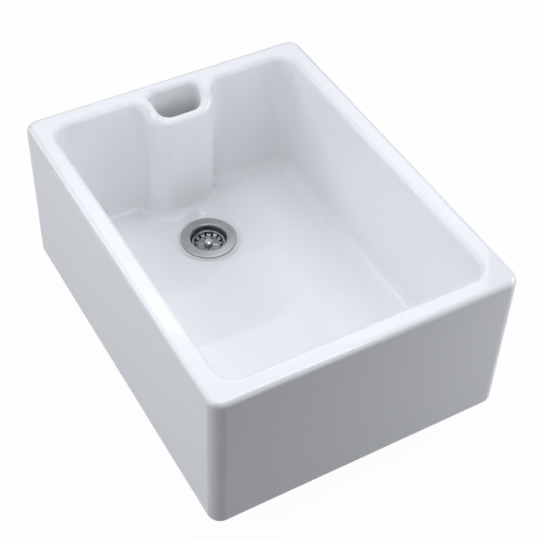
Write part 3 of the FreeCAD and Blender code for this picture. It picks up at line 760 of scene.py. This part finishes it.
# %% Building materials
def new_material(name, roughness, metallic=0.0, ior=1.5):
    """A material with a Principled shader whose plain values are set on the shader itself."""
    material = bpy.data.materials.new(name)
    material.use_nodes = True
    shader = material.node_tree.nodes["Principled BSDF"]
    shader.inputs["Roughness"].default_value = roughness
    shader.inputs["Metallic"].default_value = metallic
    shader.inputs["IOR"].default_value = ior
    return material, material.node_tree, shader


def use_group(tree, group, output, **values):
    """Places a shared group in a material with its own values."""
    node = tree.nodes.new("ShaderNodeGroup")
    node.node_tree = group
    for label, value in values.items():
        node.inputs[label.replace("_", " ")].default_value = value
    return node.outputs[output]


def blend_colours(tree, share, first, second):
    """A colour between two, by a share from 0 to 1. Either may be a socket."""
    node = tree.nodes.new("ShaderNodeMix")
    node.data_type = "RGBA"
    tree.links.new(share, node.inputs["Factor"])
    for label, colour in (("A", first), ("B", second)):
        socket = next(item for item in node.inputs if item.name == label and item.type == "RGBA")
        feed(tree, socket, colour)
    return next(item for item in node.outputs if item.type == "RGBA")


def bump(tree, shader, height, strength, distance):
    """Feeds a height to the shader's normal."""
    node = tree.nodes.new("ShaderNodeBump")
    node.inputs["Strength"].default_value = strength
    node.inputs["Distance"].default_value = distance
    tree.links.new(height, node.inputs["Height"])
    tree.links.new(node.outputs["Normal"], shader.inputs["Normal"])


# %% [markdown]
# ## The glaze
#
# Fired glaze is a thick glass skin on pale clay: very smooth, cool white, and a little warmer where it
# runs thin over an edge. It is never quite flat, so reflections swim a little. In the photo the weir's
# shaft is a deep grey, darker than white walls alone would leave it, so its colour is darkened with depth:
# painted shade for the little light that gets down the shaft.
# The underside is left unglazed, matte and cream.

# %% Colours of glaze and clay
WHITE, TINT, THIN = (0.892, 0.90, 0.905), (0.878, 0.89, 0.90), (0.86, 0.86, 0.85)
# The first colour on the next line is painted shade: the grey that the weir's shaft darkens to with depth.
SHAFT_SHADE, SPECK, CLAY = (0.42, 0.43, 0.435), (0.60, 0.58, 0.54), (0.62, 0.57, 0.49)
SHAFT_MARGIN = 4.0
# Where the painted shade in the shaft starts and is full, in millimetres below the rim, and its largest
# share.
DIM_START, DIM_END, DIM_SHARE = 25.0, 80.0, 0.8
GLOSS, MARK_ROUGH, CLAY_ROUGH = 0.02, 0.06, 0.75
print("glaze from", THIN, "to", WHITE)


# %% Glaze and bare clay
def painted_shaft_shade(tree, part):
    """The share of painted shade in the weir's shaft: 0 outside it and near the rim, DIM_SHARE at depth.
    """
    across = maths(tree, "ABSOLUTE", part["Y"], 0.0)
    middle = maths(tree, "LESS_THAN", across, MM * (WEIR_HALF_BACK + SHAFT_MARGIN))
    behind = maths(tree, "LESS_THAN", part["X"], MM * WEIR_FRONT)
    before = maths(tree, "GREATER_THAN", part["X"], MM * (WEIR_BACK - SHAFT_MARGIN))
    top, bottom = MM * (RIM_HEIGHT - DIM_START), MM * (RIM_HEIGHT - DIM_END)
    deep = ranged(tree, part["Z"], bottom, top, DIM_SHARE, 0.0)
    inside = maths(tree, "MULTIPLY", maths(tree, "MULTIPLY", middle, behind), before)
    return maths(tree, "MULTIPLY", inside, deep)


def glaze_material():
    """Cool white glaze with thin warm edges, faint specks and marks, painted shade down the weir's shaft,
    and bare clay underneath.
    """
    material, tree, shader = new_material("white_glaze", roughness=0.03, ior=1.52)
    curve = tree.nodes.new("ShaderNodeNewGeometry").outputs["Pointiness"]
    edge = ranged(tree, curve, 0.505, 0.56, 0.0, 0.5)
    specks = ranged(tree, noise(tree, object_place(tree), 900.0, detail=1.0), 0.76, 0.80, 0.0, 0.35)
    tint = ranged(tree, noise(tree, object_place(tree), 5.0, detail=3.0), 0.35, 0.65, 0.0, 0.35)
    colour = blend_colours(tree, tint, WHITE, TINT)
    colour = blend_colours(tree, edge, colour, THIN)
    colour = blend_colours(tree, specks, colour, SPECK)
    part = place_parts(tree)
    # Painted shade: the colour darkens down the weir's shaft.
    colour = blend_colours(tree, painted_shaft_shade(tree, part), colour, SHAFT_SHADE)
    ragged = maths(tree, "MULTIPLY", noise(tree, object_place(tree), 60.0, detail=3.0), 0.0012)
    bare = ranged(tree, maths(tree, "SUBTRACT", part["Z"], ragged), 0.0004, 0.0010, 1.0, 0.0)
    colour = blend_colours(tree, bare, colour, CLAY)
    tree.links.new(colour, shader.inputs["Base Color"])
    marks = use_group(tree, MARKS, "Marks", Scale=22.0, Threshold=0.58)
    rough = maths(tree, "ADD", GLOSS, maths(tree, "MULTIPLY", marks, MARK_ROUGH))
    rough = maths(tree, "ADD", rough, maths(tree, "MULTIPLY", bare, CLAY_ROUGH))
    tree.links.new(rough, shader.inputs["Roughness"])
    bump(tree, shader, use_group(tree, WAVES, "Height", Scale=9.0, Fine_share=0.04), 0.2, 0.0012)
    return material


glaze = glaze_material()
print("glaze:", len(glaze.node_tree.nodes), "nodes")

# %% [markdown]
# ## Steel, rubber, plastic and brass
#
# All the steel has fine rings round the waste axis. The flange is satin, and its cup darkens nearly
# black below the basket's rim: painted shade down the drain. The basket is darker and smoother, and the
# knob and the screw are polished.
# Rubber is nearly black with a dusty bloom, the lower body is white moulded plastic, and the thread
# insert is plain turned brass.

# %% Metals
# The second number is painted shade: how dark the cup gets down the drain. The next line gives where below
# the floor's top that shade starts and where it is full, in millimetres.
RING_SHADE, DEEP_CUP_SHADE = 0.82, 0.12
CUP_SHADE_START, CUP_SHADE_FULL = 3.5, 9.0
RING_ROUGH = 0.08


def steel_material(name, colour, roughness, ring_bump, marks_share, shade=0.0):
    """Steel with fine rings round the waste axis, water marks, and a share of painted shade down the cup.
    """
    material, tree, shader = new_material(name, roughness=roughness, metallic=1.0)
    rings = use_group(tree, RINGS, "Rings", Scale=1400.0)
    marks = use_group(tree, MARKS, "Marks", Scale=120.0, Threshold=0.56)
    dark = tuple(RING_SHADE * value for value in colour)
    # Painted shade down the drain: a dark copy of the colour, blended in with depth by the share called
    # shade.
    painted_shade = tuple(DEEP_CUP_SHADE * value for value in colour)
    top, bottom = MM * (FLOOR_TOP - CUP_SHADE_START), MM * (FLOOR_TOP - CUP_SHADE_FULL)
    depth = ranged(tree, place_parts(tree)["Z"], bottom, top, shade, 0.0)
    metal = blend_colours(tree, ranged(tree, rings, 0.3, 0.7, 0.0, 1.0), dark, colour)
    tree.links.new(blend_colours(tree, depth, metal, painted_shade), shader.inputs["Base Color"])
    rough = maths(tree, "ADD", roughness, maths(tree, "MULTIPLY", marks, marks_share))
    rough = maths(tree, "ADD", rough, maths(tree, "MULTIPLY", rings, RING_ROUGH))
    tree.links.new(rough, shader.inputs["Roughness"])
    bump(tree, shader, rings, ring_bump, 0.0002)
    return material


# The cup gets painted shade down the drain, by its last value.
cup_steel = steel_material("cup_steel", (0.58, 0.585, 0.58), 0.24, 0.25, 0.25, shade=0.97)
basket_steel = steel_material("basket_steel", (0.46, 0.465, 0.46), 0.16, 0.15, 0.2)
bright_steel = steel_material("bright_steel", (0.80, 0.81, 0.815), 0.06, 0.06, 0.12)
brass = steel_material("turned_brass", (0.62, 0.43, 0.17), 0.22, 0.25, 0.15)
print("metals:", [metal.name for metal in (cup_steel, basket_steel, bright_steel, brass)])


# %% Rubber and plastic
def dull_material(name, colour, bloom, roughness, grain):
    """A dull moulded material: a base colour, paler in dusty patches, with a fine grain."""
    material, tree, shader = new_material(name, roughness=roughness)
    patches = ranged(tree, noise(tree, object_place(tree), 80.0, detail=4.0), 0.45, 0.7, 0.0, 1.0)
    tree.links.new(blend_colours(tree, patches, colour, bloom), shader.inputs["Base Color"])
    rough = maths(tree, "ADD", roughness, maths(tree, "MULTIPLY", patches, 0.1))
    tree.links.new(rough, shader.inputs["Roughness"])
    bump(tree, shader, noise(tree, object_place(tree), grain, detail=2.0), 0.2, 0.0002)
    return material


rubber = dull_material("seal_rubber", (0.014, 0.014, 0.015), (0.035, 0.034, 0.033), 0.62, 1600.0)
plastic = dull_material("moulded_plastic", (0.74, 0.74, 0.72), (0.68, 0.68, 0.66), 0.38, 900.0)
print("dull materials:", rubber.name, plastic.name)

# %% [markdown]
# ## Placing the pieces
#
# Every new piece stands for one solid and rides on the body that carries it. The solids whose shape is
# already right keep their mesh and get a finish.

# %% Rides, replacements and finishes
PIECES = [
    (basin, "sink", "basin", "glaze", glaze),
    (cup, "sink", "strainer_cup", "satin_steel", cup_steel),
    (lower_body, "sink", "waste_body", "body_plastic", plastic),
    (basket, "strainer_basket", "basket", "satin_steel", basket_steel),
    (knob, "strainer_basket", "basket_knob", "bright_steel", bright_steel),
]
for piece, body, node, slot_name, material in PIECES:
    piece.data.materials.clear()
    piece.data.materials.append(material)
    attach(piece, body)
    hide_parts(node)

KEPT = {"thread_insert": brass, "clamp_screw": bright_steel, "flange_seal": rubber, "body_seal": rubber,
        "screw_washer": rubber, "basket_disc": rubber, "disc_retainer": plastic,
        "basket_stem": bright_steel, "stem_nut": bright_steel}
for node, material in KEPT.items():
    for slot in frame["nodes"][node].material_slots:
        slot.material = material
print("new pieces:", len(PIECES), "kept solids:", len(KEPT))

# %% [markdown]
# ## The studio
#
# The photo was taken on pure white, with soft light from large windows and no shadow to speak of. A
# white floor lies level with the end of the tail. To the camera it adds its own white, so that only a
# trace of the sink's shadow is left. In the glaze it is mirrored as cool daylight, and it gives the
# walls only a little bounced light, as in the photo.

# %% The floor
DAYLIGHT = (0.962, 0.984, 1.04)
PAPER, PAPER_BOUNCE = 0.85, 0.25
CAMERA_SHARE, MIRROR_SHARE = 0.97, 0.80


def white_for_camera(tree, shader):
    """Mixes plain light into a shader: white for the camera, and cool daylight for mirror rays."""
    path = tree.nodes.new("ShaderNodeLightPath")
    mirror = maths(tree, "MAXIMUM", path.outputs["Is Transmission Ray"], path.outputs["Is Glossy Ray"])
    seen = maths(tree, "ADD", maths(tree, "MULTIPLY", path.outputs["Is Camera Ray"], CAMERA_SHARE),
                 maths(tree, "MULTIPLY", mirror, MIRROR_SHARE))
    glow = tree.nodes.new("ShaderNodeEmission")
    tree.links.new(blend_colours(tree, path.outputs["Is Camera Ray"], DAYLIGHT, (1, 1, 1)),
                   glow.inputs["Color"])
    mix = tree.nodes.new("ShaderNodeMixShader")
    tree.links.new(seen, mix.inputs["Fac"])
    tree.links.new(shader, mix.inputs[1])
    tree.links.new(glow.outputs["Emission"], mix.inputs[2])
    return mix.outputs["Shader"]


FLOOR_HALF = 6.0
floor_level = cad_box[0][2]
floor_mesh = bpy.data.meshes.new("floor")
square = ((-1, -1), (1, -1), (1, 1), (-1, 1))
floor_corners = [(x * FLOOR_HALF, y * FLOOR_HALF, floor_level) for x, y in square]
floor_mesh.from_pydata(floor_corners, [], [(0, 1, 2, 3)])
floor = bpy.data.objects.new("floor", floor_mesh)
bpy.context.scene.collection.objects.link(floor)
floor_paint, floor_tree, floor_shader = new_material("white_paper", roughness=0.9)
bounced = floor_tree.nodes.new("ShaderNodeLightPath").outputs["Is Diffuse Ray"]
floor_tree.links.new(blend_colours(floor_tree, bounced, (PAPER,) * 3, (PAPER_BOUNCE,) * 3),
                     floor_shader.inputs["Base Color"])
floor_out = next(node for node in floor_tree.nodes if node.type == "OUTPUT_MATERIAL")
floor_light = white_for_camera(floor_tree, floor_shader.outputs["BSDF"])
floor_tree.links.new(floor_light, floor_out.inputs["Surface"])
floor.data.materials.append(floor_paint)
print("floor at", floor_level, "m")

# %% The white behind
world = bpy.data.worlds.new("studio")
bpy.context.scene.world = world
world.use_nodes = True
sky = world.node_tree.nodes["Background"]
path = world.node_tree.nodes.new("ShaderNodeLightPath")
white_share = maths(world.node_tree, "MAXIMUM", path.outputs["Is Camera Ray"],
                    path.outputs["Is Transmission Ray"])
world.node_tree.links.new(white_share, sky.inputs["Strength"])
sky.inputs["Color"].default_value = (1, 1, 1, 1)
print("world:", world.name, "white to the camera, and it lights nothing")


# %% Lamps
def softbox(name, place, target, size, watts):
    """A rectangular lamp of cool daylight that faces a point."""
    data = bpy.data.lights.new(name, "AREA")
    data.shape = "RECTANGLE"
    data.size, data.size_y = size
    data.energy = watts
    data.color = DAYLIGHT
    lamp = bpy.data.objects.new(name, data)
    direction = Vector(target) - Vector(place)
    lamp.matrix_world = Matrix.Translation(place) @ direction.to_track_quat("-Z", "Y").to_matrix().to_4x4()
    bpy.context.scene.collection.objects.link(lamp)


LAMPS = [
    ("overhead", (-0.7, 0.0, 2.7), (0, 0, 0.2), (2.4, 2.2), 16.9),
    ("weir_window", (-2.1, 1.2, 2.2), (0, 0, 0.1), (1.8, 1.5), 12.5),
    ("apron_box", (0.15, -1.1, 0.5), (0.05, 0, 0.1), (0.6, 0.5), 1.93),
    ("apron_high", (0.2, -2.2, 2.4), (0, 0, 0.1), (1.4, 1.2), 12.9),
    ("apron_strip", (-1.5, -1.7, 1.5), (0, 0.1, 0.1), (1.6, 1.0), 16.2),
    ("wall_window", (0.3, 2.6, 2.0), (0, 0, 0.1), (1.4, 1.0), 30.6),
    ("weir_fill", (0.2, -0.05, 0.8), (-0.27, -0.06, 0.15), (0.5, 0.25), 1.4),
    ("end_fill", (0.75, 0.75, 0.3), (0.3, 0.15, 0.12), (0.5, 0.4), 1.9),
    ("end_wide", (2.2, 0.5, 1.0), (0.3, 0, 0.12), (0.9, 0.7), 3.8),
    ("edge_glint", (0.85, 0.95, 2.4), (0.1, 0, 0.2), (0.35, 0.35), 3),
]
for settings in LAMPS:
    softbox(*settings)
print("lamps:", len(LAMPS), "with", round(sum(watts for *_, watts in LAMPS), 1), "W in all")

# %% [markdown]
# ## The camera
#
# The photo was taken from above the far end from the weir, a little to the apron side. The outline, the
# rim lines and the waste flange gave the camera's place, its direction and its long lens.

# %% Camera
PICTURE_SIDE = 540
FOCAL_PIXELS = 1279.9
SENSOR = 36.0
CAMERA_PLACE = Vector((1.1180, -0.6509, 1.4473))
LOOK = Vector((-0.5961, 0.3586, -0.7183)).normalized()
RIGHT = Vector((0.4905, 0.8710, 0.0278))
RIGHT = (RIGHT - RIGHT.dot(LOOK) * LOOK).normalized()
camera_data = bpy.data.cameras.new("camera")
camera_data.sensor_width = SENSOR
camera_data.lens = FOCAL_PIXELS / PICTURE_SIDE * SENSOR
camera = bpy.data.objects.new("camera", camera_data)
axes = Matrix((RIGHT, RIGHT.cross(LOOK), -LOOK)).transposed()
camera.matrix_world = Matrix.Translation(CAMERA_PLACE) @ axes.to_4x4()
bpy.context.scene.collection.objects.link(camera)
bpy.context.scene.camera = camera
bpy.context.scene.view_settings.view_transform = "Standard"
print(f"camera: {camera_data.lens:.1f} mm lens, {CAMERA_PLACE.length:.2f} m from the frame's origin")
